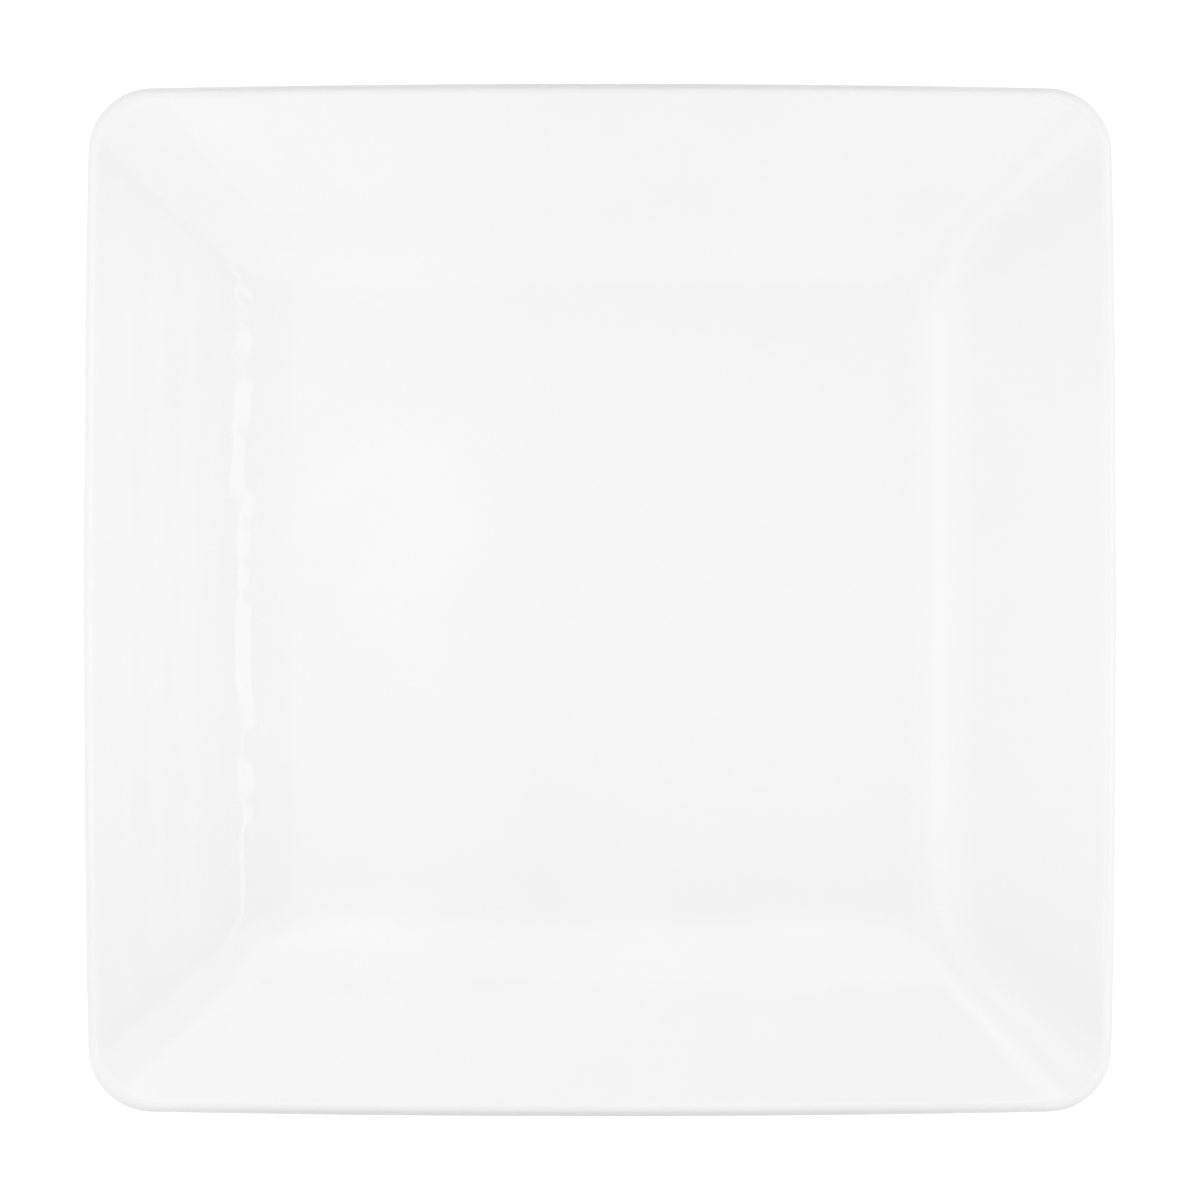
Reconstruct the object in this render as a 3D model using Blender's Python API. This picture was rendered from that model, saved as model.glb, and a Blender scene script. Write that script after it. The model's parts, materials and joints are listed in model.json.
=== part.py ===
"""Square moulded melamine plate: a pressed body on a foot ring, and the hard glaze on its upper face.

Both pieces are lofts. A section through the middle of a side is a line with rounded corners, and each
point of that section becomes a ring: a square with bowed sides and rounded corners. The rings carry
the skin.

Metres, +Z up. The origin is on the surface that the plate stands on, below its centre.
"""

import math

import bmesh
import bpy

# Outline, seen from above
WIDTH = 0.2667                # outer edge, across the middles of two opposite sides
SIDE_BOW = 0.0015             # how far a side of the outer edge stands out between its corners
CORNER_RADIUS = 0.0167        # outer edge
WELL_WIDTH = 0.1540           # flat floor, across the middles of two opposite sides
WELL_CORNER_RADIUS = 0.0090   # flat floor

# Section through the middle of a side
WALL = 0.0040                 # body, bond and glaze together, square to the face
RIM_SLOPE = math.radians(24)  # rim above the level
SWEEP_RADIUS = 0.0590         # hollow curve from the floor to the rim
LIP_RADIUS = 0.0023           # upper edge of the rim
UNDER_LIP_RADIUS = 0.0006     # lower edge of the rim
GLAZE = 0.0004                # thickness of the glaze
BOND_GAP = 0.0003             # left between the glaze and the body that it is pressed onto

# Foot ring, which drops into the well of the plate below when plates are stacked
STACK_CLEARANCE = 0.0020      # from the foot to the edge of the flat floor below it
FOOT_HEIGHT = 0.0022
FOOT_LAND = 0.0040            # breadth of the flat that the plate stands on
FOOT_DRAFT = math.radians(10)
FOOT_EDGE_RADIUS = 0.0006
FOOT_ROOT_RADIUS = 0.0008

# Facets
SIDE_STEPS = 6                # along a bowed side
CORNER_STEPS = 8              # round a corner of the outline
SWEEP_STEPS = 6               # round the sweep, on either face
LIP_STEPS = 6                 # round the lip
SMALL_STEPS = 3               # round each small radius of the section
LEAST_CORNER = 0.0002         # corner radius kept where a ring is too small for its own
SAME_POINT = 1e-7             # points of a section closer than this are one point
SMOOTH_ANGLE = math.radians(32)

# Finishes
BODY_FINISH = {"name": "white_melamine", "colour": (0.86, 0.86, 0.855, 1.0), "roughness": 0.38}
GLAZE_FINISH = {"name": "glazed_white_face", "colour": (0.88, 0.88, 0.875, 1.0), "roughness": 0.10}

# Sizes that follow from the ones above
HALF_WIDTH = WIDTH / 2
HALF_WELL = WELL_WIDTH / 2
HALF_FOOT = HALF_WELL - STACK_CLEARANCE
FOOT_SPREAD = FOOT_HEIGHT * math.tan(FOOT_DRAFT)
LIP_REACH = math.tan((math.pi / 2 + RIM_SLOPE) / 2)        # from a corner to its arc, per unit of radius
UNDER_LIP_REACH = math.tan((math.pi / 2 - RIM_SLOPE) / 2)
SWEEP_REACH = math.tan(RIM_SLOPE / 2)
EDGE_HEIGHT = WALL / math.cos(RIM_SLOPE)


def lip_radius():
    """The lip's radius, limited by the edge's height less the bond gap and the lower edge's radius."""
    room = EDGE_HEIGHT - BOND_GAP - UNDER_LIP_RADIUS * UNDER_LIP_REACH
    return min(LIP_RADIUS, room / LIP_REACH)


def sweep_radius():
    """The sweep's radius, limited by the breadth of the rim between the floor and the lip."""
    room = HALF_WIDTH - HALF_WELL - lip_radius() * (1 + math.sin(RIM_SLOPE))
    return min(SWEEP_RADIUS, room / math.sin(RIM_SLOPE))


def sharp(out, up):
    """A corner of a section line that isn't rounded."""
    return out, up, 0.0, 0


def rounded_line(corners):
    """Points of a section line whose corners (out, up, radius, steps) are arcs tangent to both legs.

    The first and last corners only give a direction. Where two arcs would share more than the leg between
    them, both get smaller radii.
    """
    legs = [math.dist(a[:2], b[:2]) for a, b in zip(corners, corners[1:])]
    headings = [math.atan2(b[1] - a[1], b[0] - a[0]) for a, b in zip(corners, corners[1:])]
    turns = [math.remainder(b - a, math.tau) for a, b in zip(headings, headings[1:])]
    reaches = [0.0, *(c[2] * math.tan(abs(turn) / 2) for c, turn in zip(corners[1:], turns)), 0.0]
    points = []
    for i, turn in enumerate(turns, start=1):
        out, up, radius, steps = corners[i]
        share = min(legs[k] / max(reaches[k] + reaches[k + 1], legs[k]) for k in (i - 1, i))
        radius *= share
        start_out = out - share * reaches[i] * math.cos(headings[i - 1])
        start_up = up - share * reaches[i] * math.sin(headings[i - 1])
        side = headings[i - 1] + math.copysign(math.pi / 2, turn)
        centre_out = start_out + radius * math.cos(side)
        centre_up = start_up + radius * math.sin(side)
        for step in range(steps + 1):
            angle = side + math.pi + turn * step / max(steps, 1)
            point = (centre_out + radius * math.cos(angle), centre_up + radius * math.sin(angle))
            if not points or math.dist(points[-1], point) > SAME_POINT:
                points.append(point)
    return points


def face_corners(depth):
    """Corners of the upper face at a depth below the glaze: floor to rim, then rim to the upright edge."""
    floor = FOOT_HEIGHT + WALL - depth
    sweep = sweep_radius() + depth
    bend = HALF_WELL + sweep * SWEEP_REACH
    edge = HALF_WIDTH - depth
    peak = floor + (edge - bend) * math.tan(RIM_SLOPE)
    return [(bend, floor, sweep, SWEEP_STEPS), (edge, peak, lip_radius() - depth, LIP_STEPS)]


def parting_height():
    """Where the lip's arc ends at the widest part of the edge: the glaze stops there."""
    peak = face_corners(0.0)[-1][1]
    return peak - lip_radius() * LIP_REACH


def body_section():
    """From the floor, over the lip and its rebate for the glaze, under the rim and round the foot."""
    upper = face_corners(GLAZE + BOND_GAP)
    inner_edge = upper[-1][0]
    shelf = parting_height() - BOND_GAP
    lower_edge = face_corners(0.0)[-1][1] - EDGE_HEIGHT
    under_sweep = sweep_radius() + WALL
    under_bend = HALF_WELL + under_sweep * SWEEP_REACH
    inner_foot = HALF_FOOT - FOOT_LAND
    return rounded_line([
        sharp(0.0, upper[0][1]),
        *upper,
        sharp(inner_edge, shelf),
        sharp(HALF_WIDTH, shelf),
        (HALF_WIDTH, lower_edge, UNDER_LIP_RADIUS, SMALL_STEPS),
        (under_bend, FOOT_HEIGHT, under_sweep, SWEEP_STEPS),
        (HALF_FOOT + FOOT_SPREAD, FOOT_HEIGHT, FOOT_ROOT_RADIUS, SMALL_STEPS),
        (HALF_FOOT, 0.0, FOOT_EDGE_RADIUS, SMALL_STEPS),
        (inner_foot, 0.0, FOOT_EDGE_RADIUS, SMALL_STEPS),
        (inner_foot - FOOT_SPREAD, FOOT_HEIGHT, FOOT_ROOT_RADIUS, SMALL_STEPS),
        sharp(0.0, FOOT_HEIGHT),
    ])


def glaze_section():
    """From the floor over the lip to the parting line, then back below the glaze to the floor."""
    upper = face_corners(0.0)
    lower = face_corners(GLAZE)
    parting = parting_height()
    return rounded_line([
        sharp(0.0, upper[0][1]),
        *upper,
        sharp(upper[-1][0], parting),
        sharp(lower[-1][0], parting),
        *reversed(lower),
        sharp(0.0, lower[0][1]),
    ])


def corner_radius(half_width):
    """Corner radius of a ring: parallel to the floor's edge inside it, eased to the outer edge's beyond."""
    if half_width < HALF_WELL:
        return max(WELL_CORNER_RADIUS - (HALF_WELL - half_width), LEAST_CORNER)
    share = (half_width - HALF_WELL) / (HALF_WIDTH - HALF_WELL)
    return WELL_CORNER_RADIUS + share * (CORNER_RADIUS - WELL_CORNER_RADIUS)


def ring(half_width, height):
    """Points of a square ring: four shallow arcs for its sides and four corner arcs tangent to them."""
    corner = corner_radius(half_width)
    bow = SIDE_BOW * half_width / HALF_WIDTH
    side_radius = (half_width ** 2 + bow ** 2) / (2 * bow)
    setback = side_radius - half_width
    inset = (math.sqrt(2 * (side_radius - corner) ** 2 - setback ** 2) - setback) / 2
    reach = math.atan2(inset, inset + setback)
    quarter = []
    for step in range(SIDE_STEPS):
        angle = reach * (2 * step / SIDE_STEPS - 1)
        quarter.append((side_radius * math.cos(angle) - setback, side_radius * math.sin(angle)))
    for step in range(CORNER_STEPS):
        angle = reach + (math.pi / 2 - 2 * reach) * step / CORNER_STEPS
        quarter.append((inset + corner * math.cos(angle), inset + corner * math.sin(angle)))
    points = []
    for _ in range(4):
        points += [(x, y, height) for x, y in quarter]
        quarter = [(-y, x) for x, y in quarter]
    return points


def loft(name, section, finish, collection):
    """One closed piece: a ring for each point of the section, skinned in order, with both ends filled.

    The section starts on the upper face and runs outwards, and rings run anticlockwise, so faces point out.
    """
    shape = bmesh.new()
    rings = [[shape.verts.new(point) for point in ring(out, up)] for out, up in section]
    for near, far in zip(rings, rings[1:]):
        for k in range(len(near)):
            shape.faces.new((near[k], near[k - 1], far[k - 1], far[k]))
    shape.faces.new(rings[0])
    shape.faces.new(reversed(rings[-1]))

    mesh = bpy.data.meshes.new(name)
    shape.to_mesh(mesh)
    shape.free()
    mesh.shade_smooth()
    mesh.set_sharp_from_angle(angle=SMOOTH_ANGLE)
    mesh.materials.append(principled(finish))
    piece = bpy.data.objects.new(name, mesh)
    collection.objects.link(piece)
    return piece


def principled(finish):
    material = bpy.data.materials.new(finish["name"])
    material.use_nodes = True
    shader = material.node_tree.nodes["Principled BSDF"]
    shader.inputs["Base Color"].default_value = finish["colour"]
    shader.inputs["Roughness"].default_value = finish["roughness"]
    shader.inputs["Metallic"].default_value = 0.0
    return material


def main():
    for obj in list(bpy.data.objects):
        bpy.data.objects.remove(obj, do_unlink=True)
    collection = bpy.data.collections.new("melamine_plate")
    bpy.context.scene.collection.children.link(collection)
    body = loft("plate_body", body_section(), BODY_FINISH, collection)
    glaze = loft("face_glaze", glaze_section(), GLAZE_FINISH, collection)
    glaze.parent = body


main()
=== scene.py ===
import json
import math

import bpy
import numpy as np
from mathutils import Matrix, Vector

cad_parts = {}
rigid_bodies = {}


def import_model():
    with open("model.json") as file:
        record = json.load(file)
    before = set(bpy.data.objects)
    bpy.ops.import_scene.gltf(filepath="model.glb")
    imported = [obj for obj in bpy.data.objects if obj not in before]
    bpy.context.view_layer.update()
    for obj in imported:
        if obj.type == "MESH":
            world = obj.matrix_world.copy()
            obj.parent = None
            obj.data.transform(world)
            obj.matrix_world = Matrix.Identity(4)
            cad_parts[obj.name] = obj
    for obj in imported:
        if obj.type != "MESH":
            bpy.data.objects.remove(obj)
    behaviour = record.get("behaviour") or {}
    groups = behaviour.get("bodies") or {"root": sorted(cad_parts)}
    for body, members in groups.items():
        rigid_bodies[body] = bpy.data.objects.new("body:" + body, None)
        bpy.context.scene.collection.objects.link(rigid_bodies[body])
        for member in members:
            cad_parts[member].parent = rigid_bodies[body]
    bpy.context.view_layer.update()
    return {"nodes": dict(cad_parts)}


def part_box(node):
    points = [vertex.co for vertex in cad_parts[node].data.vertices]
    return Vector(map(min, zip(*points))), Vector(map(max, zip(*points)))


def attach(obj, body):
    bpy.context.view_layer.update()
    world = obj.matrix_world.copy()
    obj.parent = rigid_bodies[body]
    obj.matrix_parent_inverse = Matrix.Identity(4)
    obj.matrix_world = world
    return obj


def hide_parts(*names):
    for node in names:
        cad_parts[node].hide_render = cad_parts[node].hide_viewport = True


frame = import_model()
scene = bpy.context.scene
scene.view_settings.view_transform = "Standard"
print("frame loaded:", sorted(frame["nodes"]))


class Wire:
    # one output of a shader node; arithmetic on wires and numbers adds Math nodes to the same tree

    def __init__(self, tree, socket=None):
        self.tree = tree
        self.socket = socket

    # any node: its type, its settings, what its inputs take by name or place, and which output to carry on
    def node(self, kind, settings=None, inputs=None, out=0):
        fresh = self.tree.nodes.new(kind)
        for key, value in (settings or {}).items():
            setattr(fresh, key, value)
        for key, value in (inputs or {}).items():
            if isinstance(value, Wire):
                self.tree.links.new(value.socket, fresh.inputs[key])
            else:
                fresh.inputs[key].default_value = value
        return Wire(self.tree, fresh.outputs[out] if fresh.outputs else None)

    def maths(self, operation, *terms):
        return self.node("ShaderNodeMath", {"operation": operation}, dict(enumerate(terms)))

    def __add__(self, other):
        return self.maths("ADD", self, other)

    def __radd__(self, other):
        return self.maths("ADD", other, self)

    def __sub__(self, other):
        return self.maths("SUBTRACT", self, other)

    def __rsub__(self, other):
        return self.maths("SUBTRACT", other, self)

    def __mul__(self, other):
        return self.maths("MULTIPLY", self, other)

    def __rmul__(self, other):
        return self.maths("MULTIPLY", other, self)

    def __abs__(self):
        return self.maths("ABSOLUTE", self)

    # 0 below low, 1 above high, an eased step between; low may be the larger
    def step(self, low, high):
        if low > high:
            return 1.0 - self.step(high, low)
        settings = {"interpolation_type": "SMOOTHSTEP"}
        return self.node("ShaderNodeMapRange", settings, {"Value": self, "From Min": low, "From Max": high})

    # 1 between low and high and 0 outside them, eased over an edge whose middle is at low or high
    def between(self, low, high, edge):
        return self.step(low - edge / 2, low + edge / 2) * self.step(high + edge / 2, high - edge / 2)

    # a grey that goes from one level to another as this wire goes from 0 to 1; inputs 6 and 7 and output 2 of
    # a Mix node are its colours
    def grey(self, low, high):
        colours = {0: self, 6: greyColour(low), 7: greyColour(high)}
        return self.node("ShaderNodeMix", {"data_type": "RGBA"}, colours, 2)

    # noise at a place, by its scale, its detail and, if need be, its roughness
    def noise(self, place, scale, detail, roughness=0.5):
        inputs = {"Vector": place, "Scale": scale, "Detail": detail, "Roughness": roughness}
        return self.node("ShaderNodeTexNoise", None, inputs)

    # one axis of a vector
    def axis(self, vector, name):
        return self.node("ShaderNodeSeparateXYZ", None, {"Vector": vector}, name)


def greyColour(level):
    return (level, level, level, 1.0)


# The plate's outline and section in metres, shared by both pieces; the frame gives the overall width
plateShape = {
    "halfWidth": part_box("face_glaze")[1].x,
    "sideBow": 0.0015,
    "cornerRadius": 0.0167,
    "halfWell": 0.0770,
    "wellCornerRadius": 0.0090,
    "wall": 0.0040,
    "rimSlope": math.radians(24),
    "sweepRadius": 0.0590,
    "lipRadius": 0.0023,
    "underLipRadius": 0.0006,
    "stackClearance": 0.0020,
    "footHeight": 0.0022,
    "footLand": 0.0040,
    "footDraft": math.radians(10),
    "footEdgeRadius": 0.0006,
    "footRootRadius": 0.0008,
    "poleHalfWidth": 0.0015,      # the smallest ring round a centre
    "samePoint": 0.0000001,       # points of a section closer than this are one point
    "hiddenSteps": 6,             # round each arc between the glaze and the body, where nothing shows
    "sharpAngle": math.radians(50),
    "ior": 1.5,
}


# Corners (out, up, radius) of the upper face at a depth below the glaze: floor to rim, and rim to the edge
def faceCorners(depth):
    plate = plateShape
    floorUp = plate["footHeight"] + plate["wall"] - depth
    sweep = plate["sweepRadius"] + depth
    bend = plate["halfWell"] + sweep * math.tan(plate["rimSlope"] / 2)
    edge = plate["halfWidth"] - depth
    peak = floorUp + (edge - bend) * math.tan(plate["rimSlope"])
    return [(bend, floorUp, sweep), (edge, peak, plate["lipRadius"] - depth)]


# The parting line: where the lip's arc turns upright, at the widest part of the edge
def partingUp():
    peak = faceCorners(0.0)[1][1]
    return peak - plateShape["lipRadius"] * math.tan(math.pi / 4 + plateShape["rimSlope"] / 2)


# Where the lip's arc starts on the rim
def lipStart():
    return plateShape["halfWidth"] - plateShape["lipRadius"] * (1 + math.sin(plateShape["rimSlope"]))


# A section line: each inner corner becomes an arc tangent to its two legs, with points about one pitch apart
def roundedSection(corners, pitch, arcSteps):
    places = np.array([corner[:2] for corner in corners])
    legs = np.diff(places, axis=0)
    headings = np.arctan2(legs[:, 1], legs[:, 0])
    turns = (np.diff(headings) + np.pi) % (2 * np.pi) - np.pi
    line = [places[:1]]
    for place, corner, heading, turn in zip(places[1:], corners[1:], headings, turns):
        radius = corner[2]
        along = np.array([np.cos(heading), np.sin(heading)])
        left = np.array([-along[1], along[0]]) * np.sign(turn)
        centre = place - along * radius * np.tan(abs(turn) / 2) + left * radius
        steps = max(arcSteps, math.ceil(radius * abs(turn) / pitch)) if radius > 0 else 0
        angle = np.linspace(0.0, abs(turn), steps + 1)[:, None]
        line.append(centre - left * radius * np.cos(angle) + along * radius * np.sin(angle))
    line.append(places[-1:])
    points = np.concatenate(line)
    lengths = np.hypot(*np.diff(points, axis=0).T)
    apart = lengths > plateShape["samePoint"]
    points = points[np.append(True, apart)]
    counts = np.maximum(1, np.ceil(lengths[apart] / pitch).astype(int))
    start = np.repeat(np.arange(len(counts)), counts)
    share = np.concatenate([np.arange(count) / count for count in counts])[:, None]
    fine = points[start] + (points[start + 1] - points[start]) * share
    return np.concatenate([fine, points[-1:]])


# Corner radius of a ring: eased from the floor's to the outer edge's. Inside the floor it is parallel to the
# floor's edge as far in as a given ring, and in proportion to the ring's size from there.
def ringCorners(out, parallelTo):
    plate = plateShape
    share = (out - plate["halfWell"]) / (plate["halfWidth"] - plate["halfWell"])
    outside = plate["wellCornerRadius"] + share * (plate["cornerRadius"] - plate["wellCornerRadius"])
    inner = min(parallelTo, plate["halfWell"])
    innerRadius = plate["wellCornerRadius"] - (plate["halfWell"] - inner)
    parallel = plate["wellCornerRadius"] - (plate["halfWell"] - out)
    inside = np.where(out < inner, innerRadius * out / inner, parallel)
    return np.where(out < plate["halfWell"], inside, outside)


# Rings over a section: four shallow side arcs and four corner arcs tangent to them, anticlockwise from the
# right side's front end, with a number of steps for each side
def ringGrid(section, sideSteps, cornerSteps, parallelTo):
    plate = plateShape
    out, up = section[:, :1], section[:, 1:]
    corner = ringCorners(out, parallelTo)
    bow = plate["sideBow"] * out / plate["halfWidth"]
    sideRadius = (out ** 2 + bow ** 2) / (2 * bow)
    setback = sideRadius - out
    inset = (np.sqrt(2 * (sideRadius - corner) ** 2 - setback ** 2) - setback) / 2
    reach = np.arctan2(inset, inset + setback)
    cornerAngle = reach + (np.pi / 2 - 2 * reach) * np.arange(cornerSteps) / cornerSteps
    quarters = []
    for number, steps in enumerate(sideSteps):
        sideAngle = reach * (2 * np.arange(steps) / steps - 1)
        x = np.hstack([sideRadius * np.cos(sideAngle) - setback, inset + corner * np.cos(cornerAngle)])
        y = np.hstack([sideRadius * np.sin(sideAngle), inset + corner * np.sin(cornerAngle)])
        quarters.append(((x, y), (-y, x), (-x, -y), (y, -x))[number])
    xAll, yAll = (np.hstack(parts) for parts in zip(*quarters))
    return np.stack([xAll, yAll, np.broadcast_to(up, xAll.shape)], axis=-1)


# A closed mesh from a grid of rings: quads between neighbouring rings, and at both ends a fan to a centre
def closedMesh(name, grid):
    rows, columns = grid.shape[:2]
    index = np.arange(rows * columns).reshape(rows, columns)
    near, far = index[:-1], index[1:]
    quads = np.stack([near, np.roll(near, 1, 1), np.roll(far, 1, 1), far], axis=-1).reshape(-1, 4)
    first, last = index[0], index[-1]
    firstPole, lastPole = rows * columns, rows * columns + 1
    firstFan = np.stack([np.roll(first, 1), first, np.full(columns, firstPole)], axis=-1)
    lastFan = np.stack([last, np.roll(last, 1), np.full(columns, lastPole)], axis=-1)
    poles = np.stack([grid[0].mean(0), grid[-1].mean(0)])
    points = np.concatenate([grid.reshape(-1, 3), poles])
    mesh = bpy.data.meshes.new(name)
    mesh.from_pydata(points.tolist(), [], quads.tolist() + firstFan.tolist() + lastFan.tolist())
    mesh.shade_smooth()
    mesh.set_sharp_from_angle(angle=plateShape["sharpAngle"])
    piece = bpy.data.objects.new(name, mesh)
    scene.collection.objects.link(piece)
    return piece


def newMaterial(name):
    material = bpy.data.materials.new(name)
    material.use_nodes = True
    material.node_tree.nodes.clear()
    return material, Wire(material.node_tree)


# Surface output of a material from a Principled shader's inputs
def finishMaterial(tree, inputs):
    shader = tree.node("ShaderNodeBsdfPrincipled", None, {**inputs, "IOR": plateShape["ior"]})
    tree.node("ShaderNodeOutputMaterial", None, {"Surface": shader})


# The glazed upper face
glazedFace = {
    "name": "glazed_face",
    "thickness": 0.0004,
    "pitch": 0.0004,              # between rings, across the section, where the ledge is
    "floorRows": 20,              # on the flat of the floor one ring in so many is kept
    "slopeRows": 3,               # and on the sweep and the rim beside the ledge
    "lipSteps": 20,
    "sideSteps": (56, 72, 216, 72),    # along the right, back, left and front
    "cornerSteps": 28,
    "easing": 0.006,              # either side of where the floor and rim meet the sweep
    "easingSamples": 25,          # in the mean that does it
    # ripples that the pressing left along the rims
    "rippleHeight": 0.000070,
    "ripplePatch": (0.041, 0.017),    # along and across, of the patches in which ripples rise and fade
    "rippleStagger": 3.0,         # radians by which the patches sway along a side, from row to row
    "ripplePitch": 0.0089,
    "rippleCrest": 0.0161,        # where a crest would lie, across the section from the floor's edge
    "rippleWaver": ((0.00050, 0.0600), (0.00030, 0.0270), (0.00025, 0.0125)),    # shift, length of each wave
    "rippleSides": (0.15, 0.30, 1.00, 0.20),    # share on the right, back, left and front
    "rippleStart": 0.019,         # across the section from the floor's edge
    "rippleFull": 0.027,
    "rippleEnd": 0.004,           # short of the lip, and the breadth over which they fade there
    "rippleCorner": 0.12,         # share of half a side over which they fade towards its ends
    # strokes of a broken ledge that the pressing left along one sweep, all at one slope
    "ledgeSide": 2,               # the left, counted from the right side anticlockwise
    "ledgeSlope": math.radians(16.75),
    "ledgeZone": (0.010, 0.022),  # where all rings are kept, across the section from the floor's edge
    "ledgeSpread": 0.003,         # over which the turn that a stroke adds is given back
    "strokeEnd": 0.0030,          # over which a stroke's end fades
    "strokeFlatness": 8,          # the larger, the harder its edges
    "strokeRise": math.radians(1.3),     # turn away from the ledge's slope beyond a stroke's edges,
    "strokeEase": 0.0006,                # reached over about this much
    "creaseTurn": math.radians(1.2),     # between strokes the sweep turns by so much more, to either side,
    "creaseSharp": math.radians(0.3),    # within about this turn of the ledge's slope,
    "creaseSpread": math.radians(2.0),   # and gives it back over this one,
    "creaseRoom": math.radians(5.0),     # and what is left of it over this one
    # start and end along the side from its middle to the front, middle across the section from the floor's
    # edge at the start and the end, half breadth
    "strokes": (
        (-0.0845, -0.0770, 0.0167, 0.0172, 0.0025),
        (-0.0755, -0.0722, 0.0175, 0.0175, 0.0018),
        (-0.0712, -0.0615, 0.0163, 0.0178, 0.0025),
        (-0.0580, -0.0425, 0.0165, 0.0176, 0.0025),
        (-0.0420, -0.0268, 0.0178, 0.0189, 0.0019),
        (-0.0295, -0.0205, 0.0140, 0.0161, 0.0017),
        (-0.0200, -0.0105, 0.0162, 0.0164, 0.0019),
        (-0.0090, -0.0022, 0.0163, 0.0163, 0.0016),
        (-0.0005, 0.0230, 0.0162, 0.0165, 0.0024),
        (0.0225, 0.0350, 0.0162, 0.0140, 0.0019),
        (0.0415, 0.0525, 0.0165, 0.0147, 0.0022),
        (0.0535, 0.0600, 0.0152, 0.0152, 0.0012),
    ),
    # finish: scale and detail of each noise, what each one changes, and between which of its values
    "cloud": (22.0, 3.0),
    "fleck": (900.0, 2.0),
    "fleckShare": 0.3,
    "white": (0.872, 0.888),
    "whiteLimits": (0.25, 0.75),
    "wipe": (55.0, 5.0),
    "roughness": (0.022, 0.050),
    "wipeLimits": (0.3, 0.7),
    "peel": (320.0, 1.0),
    "peelHeight": 0.000004,
}


# Distance across the section from the floor's edge
def acrossSection(section):
    across = np.append(0.0, np.cumsum(np.hypot(*np.diff(section, axis=0).T)))
    return across - np.interp(plateShape["halfWell"], section[:, 0], across)


# The rows of the section that are kept: few on the floor, all on the ledge and the lip
def keptRows(section):
    glaze = glazedFace
    out, across = section[:, 0], acrossSection(section)
    flat = out < plateShape["halfWell"] - 2 * glaze["easing"]
    ledge = (across > glaze["ledgeZone"][0]) & (across < glaze["ledgeZone"][1])
    stride = np.select([flat, ledge, out < lipStart()], [glaze["floorRows"], 1, glaze["slopeRows"]], 1)
    return section[np.arange(len(section)) % stride == 0]


# Where each point of a grid lies on the upper face: across the section from the floor's edge, along its side
# from the side's middle, and on which side (right, back, left, front)
def facePlaces(section, grid):
    glaze = glazedFace
    side = np.repeat(np.arange(4), np.array(glaze["sideSteps"]) + glaze["cornerSteps"])
    alongX = np.array([0, -1, 0, 1])[side]
    alongY = np.array([1, 0, -1, 0])[side]
    along = grid[..., 0] * alongX + grid[..., 1] * alongY
    return acrossSection(section)[:, None], along, side


# Ripple heights: a cosine across the section whose crests waver along the side, in patches that rise and
# fade, faded in over the end of the sweep, out before the lip and out towards the corners
def rippleHeights(section, across, along, side):
    glaze = glazedFace
    waver = 0.0
    for shift, length in glaze["rippleWaver"]:
        waver = waver + shift * np.sin(2 * np.pi * along / length + side)
    crests = np.cos(2 * np.pi * (across - glaze["rippleCrest"] + waver) / glaze["ripplePitch"])
    patchAlong, patchAcross = glaze["ripplePatch"]
    stagger = glaze["rippleStagger"] * np.sin(2 * np.pi * across / patchAcross) + side
    patches = 0.5 + 0.5 * np.sin(2 * np.pi * along / patchAlong + stagger)
    rimEnd = np.interp(lipStart(), section[:, 0], across[:, 0])
    fadeIn = np.clip((across - glaze["rippleStart"]) / (glaze["rippleFull"] - glaze["rippleStart"]), 0, 1)
    fadeOut = np.clip((rimEnd - glaze["rippleEnd"] - across) / glaze["rippleEnd"], 0, 1)
    atCorner = np.ones(glaze["cornerSteps"])
    reach = np.concatenate([np.append(np.linspace(-1, 1, steps), atCorner) for steps in glaze["sideSteps"]])
    fadeCorner = np.clip((1 - np.abs(reach)) / glaze["rippleCorner"], 0, 1)
    share = np.array(glaze["rippleSides"])[side]
    return glaze["rippleHeight"] * crests * patches * share * fadeCorner * fadeIn * fadeOut


# 1 between a start and an end along a side, smoothly down to 0 beyond both
def strokeWindow(along, start, end):
    length = np.clip(np.minimum(along - start, end - along) / glazedFace["strokeEnd"] + 0.5, 0, 1)
    return length ** 2 * (3 - 2 * length)


# Turns that a stroke adds across the section: inside it the section keeps the ledge's slope, and beyond its
# edges it leaves that slope at once. What this adds is given back on the stroke's side that lies away from
# where the sweep has that slope by itself.
def strokeTurns(stroke, lead, pitch, across, along):
    glaze = glazedFace
    start, end, startAcross, endAcross, half = stroke
    middle = np.interp(along, (start, end), (startAcross, endAcross))
    offset = np.abs(across - middle)
    outer = across > middle
    beyond = np.maximum(offset - half, 0)
    least = glaze["strokeRise"] * (1 - np.exp(-beyond / glaze["strokeEase"]))
    inside = 1 / (1 + (offset / half) ** glaze["strokeFlatness"])
    own = lead * (1 - inside)
    wanted = np.where(outer, np.maximum(own, least), np.minimum(own, -least))
    added = strokeWindow(along, start, end) * (wanted - lead) * pitch
    total = added.sum(axis=0)
    room = beyond * np.exp(-(beyond / glaze["ledgeSpread"]) ** 2) * (outer != (total > 0)) * pitch
    return added - room * total / room.sum(axis=0)


# Turns of the creases between strokes, where the section hurries past the ledge's slope
def creaseTurns(lead, pitch, along):
    glaze = glazedFace
    strokes = glaze["strokes"]
    broken = strokeWindow(along, strokes[0][0], strokes[-1][1])
    for start, end, *_ in strokes:
        broken = broken * (1 - strokeWindow(along, start, end))
    hurry = np.tanh(lead / glaze["creaseSharp"]) * np.exp(-(lead / glaze["creaseSpread"]) ** 2)
    added = broken * glaze["creaseTurn"] * hurry * pitch
    room = np.exp(-(lead / glaze["creaseRoom"]) ** 2) * pitch
    return added - room * added.sum(axis=0) / room.sum()


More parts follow.
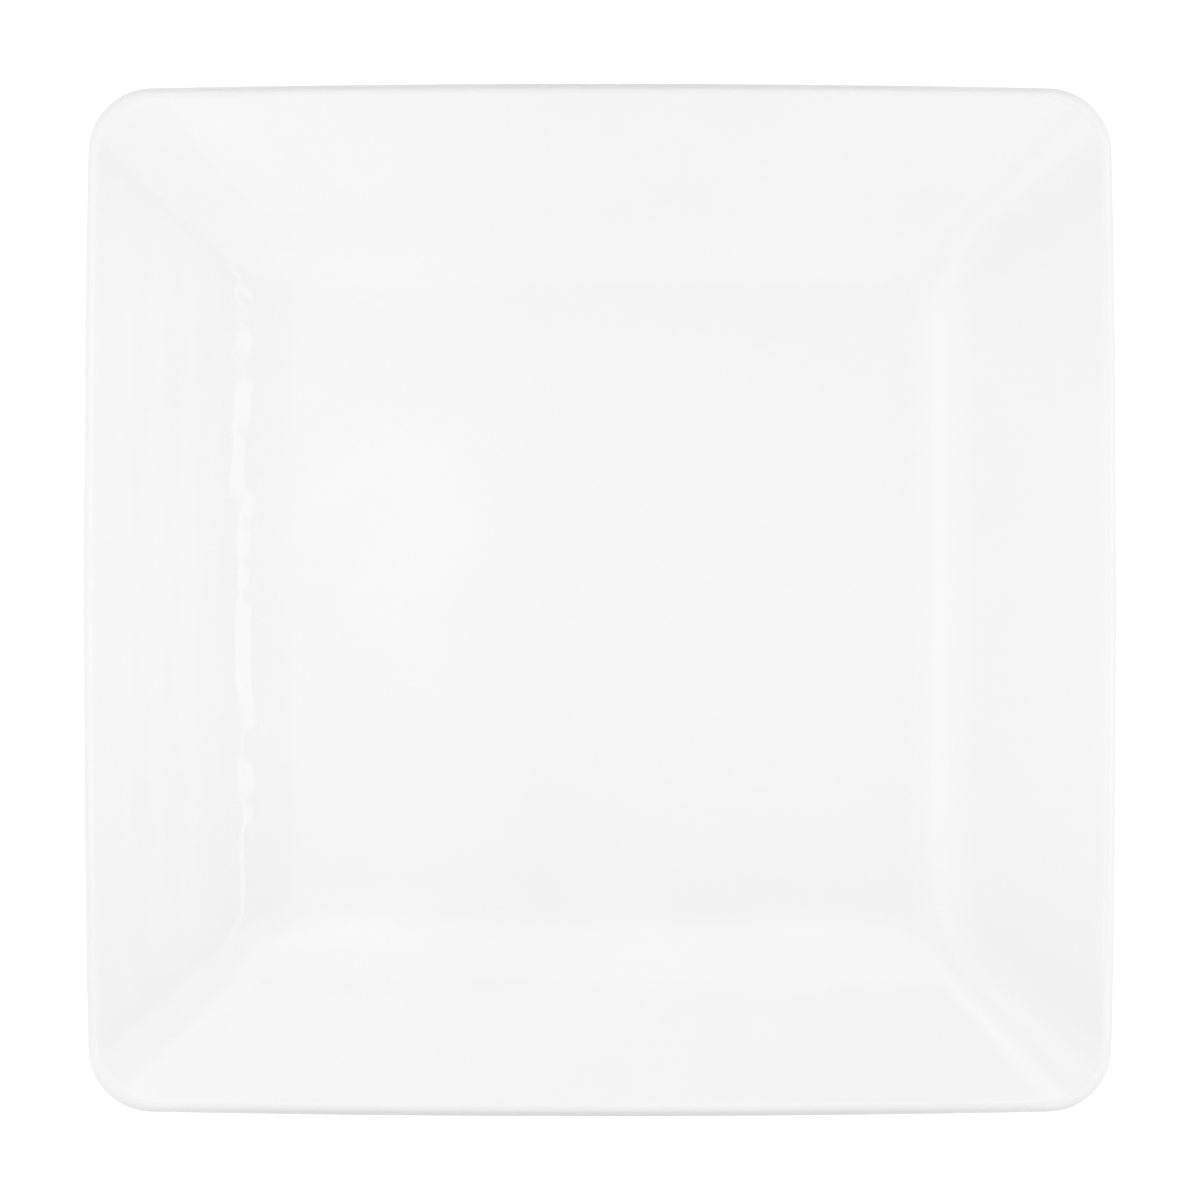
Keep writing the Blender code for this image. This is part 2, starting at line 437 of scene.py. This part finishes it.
# Ledge heights: the turns of strokes and creases, each times its row's pitch, added up across the section
def ledgeHeights(section, across, along, side):
    glaze = glazedFace
    outStep, upStep = np.gradient(section, axis=0).T
    lead = np.arctan2(upStep, outStep)[:, None] - glaze["ledgeSlope"]
    pitch = np.gradient(across, axis=0) * (section[:, :1] < lipStart())
    turns = creaseTurns(lead, pitch, along)
    for stroke in glaze["strokes"]:
        turns = turns + strokeTurns(stroke, lead, pitch, across, along)
    return np.cumsum(turns * (side == glaze["ledgeSide"]), axis=0)


# The upper section with its tangent points eased: each height becomes the mean of those on either side of it
def easedSection(section):
    glaze = glazedFace
    out, up = section.T
    offsets = np.linspace(-1, 1, glaze["easingSamples"])[:, None] * glaze["easing"]
    share = np.clip((lipStart() - out) / glaze["easing"] - 1, 0, 1)
    mean = np.interp(out + offsets, out, up).mean(axis=0)
    return np.stack([out, up + (mean - up) * share], axis=1)


# Unit normals of a grid of rings, from its differences along both parameters
def gridNormals(grid):
    acrossStep = np.gradient(grid, axis=0)
    aroundStep = np.roll(grid, -1, 1) - np.roll(grid, 1, 1)
    normal = np.cross(acrossStep, aroundStep)
    return normal / np.linalg.norm(normal, axis=-1, keepdims=True)


# Rings over the eased upper section, moved along their normals by the ripples and the ledge, then rings over
# the glaze's plain back
def makeGlazedFace():
    glaze = glazedFace
    plate = plateShape
    upper = faceCorners(0.0)
    lower = faceCorners(glaze["thickness"])
    pole = plate["poleHalfWidth"]
    edge = [(plate["halfWidth"], partingUp(), 0.0)]
    section = roundedSection([(pole, upper[0][1], 0.0), *upper, *edge], glaze["pitch"], glaze["lipSteps"])
    section = keptRows(easedSection(section))
    grid = ringGrid(section, glaze["sideSteps"], glaze["cornerSteps"], plate["halfWell"])
    places = facePlaces(section, grid)
    height = rippleHeights(section, *places) + ledgeHeights(section, *places)
    grid = grid + gridNormals(grid) * height[..., None]
    grid[..., 2] = np.minimum(grid[..., 2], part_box("face_glaze")[1].z)
    backEdge = [(plate["halfWidth"] - glaze["thickness"], partingUp(), 0.0)]
    backCorners = [*backEdge, *lower[::-1], (pole, lower[0][1], 0.0)]
    back = roundedSection(backCorners, plate["halfWell"], plate["hiddenSteps"])
    backGrid = ringGrid(back, glaze["sideSteps"], glaze["cornerSteps"], plate["halfWell"])
    return closedMesh(glaze["name"], np.concatenate([grid, backGrid]))


# White under clear glaze: a faint clouding in the white, gloss that varies a little, and a fine orange peel
def glazedWhite():
    glaze = glazedFace
    material, tree = newMaterial("glazed_white")
    place = tree.node("ShaderNodeTexCoord", None, None, "Object")
    noises = ("cloud", "fleck", "wipe", "peel")
    cloud, fleck, wipe, peel = (tree.noise(place, *glaze[name]) for name in noises)
    share = glaze["fleckShare"]
    white = (cloud * (1 - share) + fleck * share).step(*glaze["whiteLimits"]).grey(*glaze["white"])
    low, high = glaze["roughness"]
    bump = {"Height": peel, "Strength": 1.0, "Distance": glaze["peelHeight"]}
    finishMaterial(tree, {
        "Base Color": white,
        "Roughness": low + (high - low) * wipe.step(*glaze["wipeLimits"]),
        "Normal": tree.node("ShaderNodeBump", None, bump),
    })
    return material


face = makeGlazedFace()
face.data.materials.append(glazedWhite())
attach(face, "root")
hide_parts("face_glaze")
print("glazed face:", len(face.data.polygons), "faces")


# The moulded body: lower edge, underside, foot ring and recess, and the bed that the glaze lies on
mouldedBody = {
    "name": "moulded_body",
    "bedDepth": 0.00043,          # just below the glaze
    "partingGap": 0.00003,
    "pitch": 0.0016,
    "smallSteps": 8,
    "sideSteps": (72, 72, 72, 72),
    "cornerSteps": 28,
    # finish: scale and detail of each noise, what each one changes, and between which of its values
    "cloud": (30.0, 4.0),
    "grain": (1800.0, 2.0),
    "grainShare": 0.3,
    "grainHeight": 0.000004,
    "white": (0.845, 0.872),
    "whiteLimits": (0.2, 0.8),
    "roughness": (0.30, 0.42),
    "glossLimits": (0.3, 0.7),
    "buffedDrop": 0.0002,         # from the parting line down to the middle of the buffed band
    "buffedHalf": (0.0003, 0.0007),    # from its middle to where it starts to fade, and to its edge
    "buffedRough": 0.18,
    "scuff": (420.0, 6.0, 0.7),   # and this one's roughness
    "scuffUp": (0.0001, 0.0004),  # heights where the scuffs on the foot start to fade, and where they end
    "scuffLimits": (0.45, 0.62),
    "scuffGrey": 0.35,
    "scuffRough": 0.25,
}


# Rings over the bed, which is hidden, then rings over the outside from the parting line to the recess
def makeMouldedBody():
    mould = mouldedBody
    plate = plateShape
    pole = plate["poleHalfWidth"]
    slope = plate["rimSlope"]
    bed = faceCorners(mould["bedDepth"])
    shelf = partingUp() - mould["partingGap"]
    lowerEdge = faceCorners(0.0)[1][1] - plate["wall"] / math.cos(slope)
    underSweep = plate["sweepRadius"] + plate["wall"]
    underBend = plate["halfWell"] + underSweep * math.tan(slope / 2)
    foot = plate["halfWell"] - plate["stackClearance"]
    innerFoot = foot - plate["footLand"]
    spread = plate["footHeight"] * math.tan(plate["footDraft"])
    bedCorners = [(pole, bed[0][1], 0.0), *bed, (bed[1][0], shelf, 0.0)]
    bedSection = roundedSection(bedCorners, plate["halfWell"], plate["hiddenSteps"])
    underside = roundedSection([
        (plate["halfWidth"], shelf, 0.0),
        (plate["halfWidth"], lowerEdge, plate["underLipRadius"]),
        (underBend, plate["footHeight"], underSweep),
        (foot + spread, plate["footHeight"], plate["footRootRadius"]),
        (foot, 0.0, plate["footEdgeRadius"]),
        (innerFoot, 0.0, plate["footEdgeRadius"]),
        (innerFoot - spread, plate["footHeight"], plate["footRootRadius"]),
        (pole, plate["footHeight"], 0.0),
    ], mould["pitch"], mould["smallSteps"])
    footIn = innerFoot - spread - plate["footRootRadius"]
    bedGrid = ringGrid(bedSection, mould["sideSteps"], mould["cornerSteps"], plate["halfWell"])
    underGrid = ringGrid(underside, mould["sideSteps"], mould["cornerSteps"], footIn)
    grid = np.concatenate([bedGrid, underGrid])
    grid[..., 2] = np.maximum(grid[..., 2], 0.0)
    return closedMesh(mould["name"], grid)


# Moulded white without glaze: semi-gloss with a fine grain, a buffed band along the parting line,
# and light scuffs on the flat of the foot
def mouldedWhite():
    mould = mouldedBody
    material, tree = newMaterial("moulded_white")
    place = tree.node("ShaderNodeTexCoord", None, None, "Object")
    up = tree.axis(place, "Z")
    cloud, grain, scuff = (tree.noise(place, *mould[name]) for name in ("cloud", "grain", "scuff"))
    buffed = abs(up - (partingUp() - mould["buffedDrop"])).step(*mould["buffedHalf"][::-1])
    worn = up.step(*mould["scuffUp"][::-1]) * scuff.step(*mould["scuffLimits"])
    share = mould["grainShare"]
    mottle = cloud * (1 - share) + grain * share - mould["scuffGrey"] * worn
    low, high = mould["roughness"]
    gloss = low + (high - low) * cloud.step(*mould["glossLimits"])
    bump = {"Height": grain, "Strength": 1.0, "Distance": mould["grainHeight"]}
    finishMaterial(tree, {
        "Base Color": mottle.step(*mould["whiteLimits"]).grey(*mould["white"]),
        "Roughness": gloss + mould["buffedRough"] * buffed + mould["scuffRough"] * worn,
        "Normal": tree.node("ShaderNodeBump", None, bump),
    })
    return material


body = makeMouldedBody()
body.data.materials.append(mouldedWhite())
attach(body, "root")
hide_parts("plate_body")
print("moulded body:", len(body.data.polygons), "faces")


# A flat four-cornered mesh for the stage
def flatSheet(name, corners):
    mesh = bpy.data.meshes.new(name)
    mesh.from_pydata(corners, [], [(0, 1, 2, 3)])
    sheet = bpy.data.objects.new(name, mesh)
    scene.collection.objects.link(sheet)
    return sheet


# The surface that the plate stands on: white to the camera, with the plate's shadow kept in it
tableTop = {
    "halfSize": 12.0,
    "bounce": 0.63,               # its white for light that bounces onto the plate
    "glow": 0.78,                 # what is seen of it where no light falls
    "shade": 0.46,                # and what full light adds
    "seenBy": ("Is Camera Ray", "Is Glossy Ray", "Is Transmission Ray"),
}


def makeTableTop():
    top = tableTop
    side = top["halfSize"]
    table = flatSheet("table_top", [(-side, -side, 0), (side, -side, 0), (side, side, 0), (-side, side, 0)])
    material, tree = newMaterial("white_table")
    camera, glossy, clear = (tree.node("ShaderNodeLightPath", None, None, ray) for ray in top["seenBy"])
    bounce = tree.node("ShaderNodeBsdfDiffuse", None, {"Color": greyColour(top["bounce"])})
    glow = tree.node("ShaderNodeEmission", None, {"Color": greyColour(1.0), "Strength": top["glow"]})
    shade = tree.node("ShaderNodeBsdfDiffuse", None, {"Color": greyColour(top["shade"])})
    shown = tree.node("ShaderNodeAddShader", None, {0: glow, 1: shade})
    mixed = tree.node("ShaderNodeMixShader", None, {0: camera + glossy + clear, 1: bounce, 2: shown})
    tree.node("ShaderNodeOutputMaterial", None, {"Surface": mixed})
    table.data.materials.append(material)


makeTableTop()

# Grey cards that stand out of the picture behind and before the plate, so that its lip is drawn darker there
edgeCards = {
    "places": {"back_card": 1, "front_card": -1},    # direction from the plate
    "clear": 0.050,               # from the lip
    "halfLength": (0.092, 0.168),    # where its ends start to thin out, and where they end
    "lift": 0.018,                # of the lower edge
    "height": (0.069, 0.158),     # where its top starts to thin out, and where it ends
    "grey": 0.73,
}


def makeEdgeCard(name, direction):
    cards = edgeCards
    y = direction * (plateShape["halfWidth"] + cards["clear"])
    x, low, high = cards["halfLength"][1], cards["lift"], cards["height"][1]
    card = flatSheet(name, [(-x, y, low), (x, y, low), (x, y, high), (-x, y, high)])
    card.visible_camera = False
    material, tree = newMaterial(name)
    cloth = tree.node("ShaderNodeBsdfDiffuse", None, {"Color": greyColour(cards["grey"])})
    clear = tree.node("ShaderNodeBsdfTransparent")
    place = tree.node("ShaderNodeTexCoord", None, None, "Object")
    across, up = (tree.axis(place, axis) for axis in "XZ")
    dense = abs(across).step(*cards["halfLength"][::-1]) * up.step(*cards["height"][::-1])
    thinned = tree.node("ShaderNodeMixShader", None, {0: dense, 1: clear, 2: cloth})
    tree.node("ShaderNodeOutputMaterial", None, {"Surface": thinned})
    card.data.materials.append(material)


for cardName, cardDirection in edgeCards["places"].items():
    makeEdgeCard(cardName, cardDirection)
print("table top and edge cards made")


# Soft studio light: an even surround with soft-edged lighter and darker areas in it, and a panel overhead
studio = {
    "surround": 1.0515,
    # level added; from and to across (+X), from and to along (+Y) as direction cosines; soft edges across
    # and along
    "areas": {
        "overhead": (-0.360, -0.10, 0.12, -0.12, 0.12, 0.06, 0.06),
        "back": (0.650, 0.00, 0.26, 0.22, 0.64, 0.06, 0.06),
        "back_left_near": (0.450, -0.18, -0.01, 0.22, 0.37, 0.12, 0.06),
        "back_left": (0.360, -0.18, -0.01, 0.37, 0.76, 0.12, 0.06),
        "back_left_high": (0.460, -0.18, -0.01, 0.37, 0.60, 0.12, 0.06),
        "back_left_low": (0.300, -0.18, -0.01, 0.65, 0.76, 0.12, 0.02),
        "front": (0.160, -0.02, 0.20, -0.58, -0.18, 0.06, 0.10),
        "front_left": (0.360, -0.18, -0.03, -0.80, -0.33, 0.10, 0.10),
        "front_left_low": (0.240, -0.18, -0.03, -0.80, -0.65, 0.10, 0.02),
        "left_strip": (0.360, -0.56, -0.24, -0.075, 0.075, 0.05, 0.03),
        "right_shade": (-0.500, 0.12, 0.66, -0.09, 0.09, 0.16, 0.02),
        "right_strip": (1.100, 0.466, 0.498, -0.080, 0.088, 0.02, 0.02),
        "right_wall": (0.300, 0.67, 0.95, -0.08, 0.30, 0.16, 0.06),
        "front_left_corner": (-0.300, -0.90, -0.64, -0.22, -0.062, 0.02, 0.04),
        "low_back": (-0.360, -1.20, 1.20, 0.80, 1.20, 0.14, 0.14),
    },
    # centre, size across and along, soft margins (left, right, front, back) as shares of the size, level
    "panels": {
        "left_panel": ((-0.0775, 0.000, 0.50), (0.125, 0.27), (0.20, 0.45, 0.25, 0.15), 0.450),
    },
}


def lightSurround():
    world = bpy.data.worlds.new("studio")
    scene.world = world
    world.use_nodes = True
    world.node_tree.nodes.clear()
    tree = Wire(world.node_tree)
    place = tree.node("ShaderNodeTexCoord", None, None, "Generated")
    across, along = (tree.axis(place, axis) for axis in "XY")
    total = studio["surround"]
    for level, left, right, front, back, sideEdge, endEdge in studio["areas"].values():
        total = total + level * across.between(left, right, sideEdge) * along.between(front, back, endEdge)
    light = tree.node("ShaderNodeBackground", None, {"Color": greyColour(1.0), "Strength": total})
    tree.node("ShaderNodeOutputWorld", None, {"Surface": light})


# A panel that faces straight down, with soft margins; its power gives it that level as a radiance
def hangPanel(name, centre, size, margins, level):
    lamp = bpy.data.lights.new(name, "AREA")
    lamp.shape = "RECTANGLE"
    lamp.size, lamp.size_y = size
    lamp.energy = level * math.pi * size[0] * size[1]
    lamp.use_nodes = True
    lamp.node_tree.nodes.clear()
    tree = Wire(lamp.node_tree)
    place = tree.node("ShaderNodeNewGeometry", None, None, "Parametric")
    across, along = (tree.axis(place, axis) for axis in "XY")
    left, right, front, back = margins
    acrossShape = across.step(0.0, left) * across.step(1.0, 1.0 - right)
    alongShape = along.step(0.0, front) * along.step(1.0, 1.0 - back)
    inputs = {"Color": greyColour(1.0), "Strength": acrossShape * alongShape}
    glow = tree.node("ShaderNodeEmission", None, inputs)
    tree.node("ShaderNodeOutputLight", None, {"Surface": glow})
    panel = bpy.data.objects.new(name, lamp)
    panel.location = centre
    scene.collection.objects.link(panel)


lightSurround()
for panelName, panelValues in studio["panels"].items():
    hangPanel(panelName, *panelValues)
print("studio lit, panels:", len(studio["panels"]))


# The camera looks straight down, framed so that the plate fills the photograph's share of the picture
viewpoint = {
    "distance": 1.10,             # above the parting line
    "plateShare": 1032.4 / 1200,  # of the picture's width, in the photograph's pixels
    "sensor": 36.0,
}


def placeCamera():
    view = viewpoint
    lens = bpy.data.cameras.new("overhead")
    lens.sensor_width = view["sensor"]
    lens.lens = view["sensor"] * view["distance"] * view["plateShare"] / (2 * plateShape["halfWidth"])
    camera = bpy.data.objects.new("overhead", lens)
    camera.location = (0.0, 0.0, partingUp() + view["distance"])
    scene.collection.objects.link(camera)
    scene.camera = camera


placeCamera()
print("camera placed")
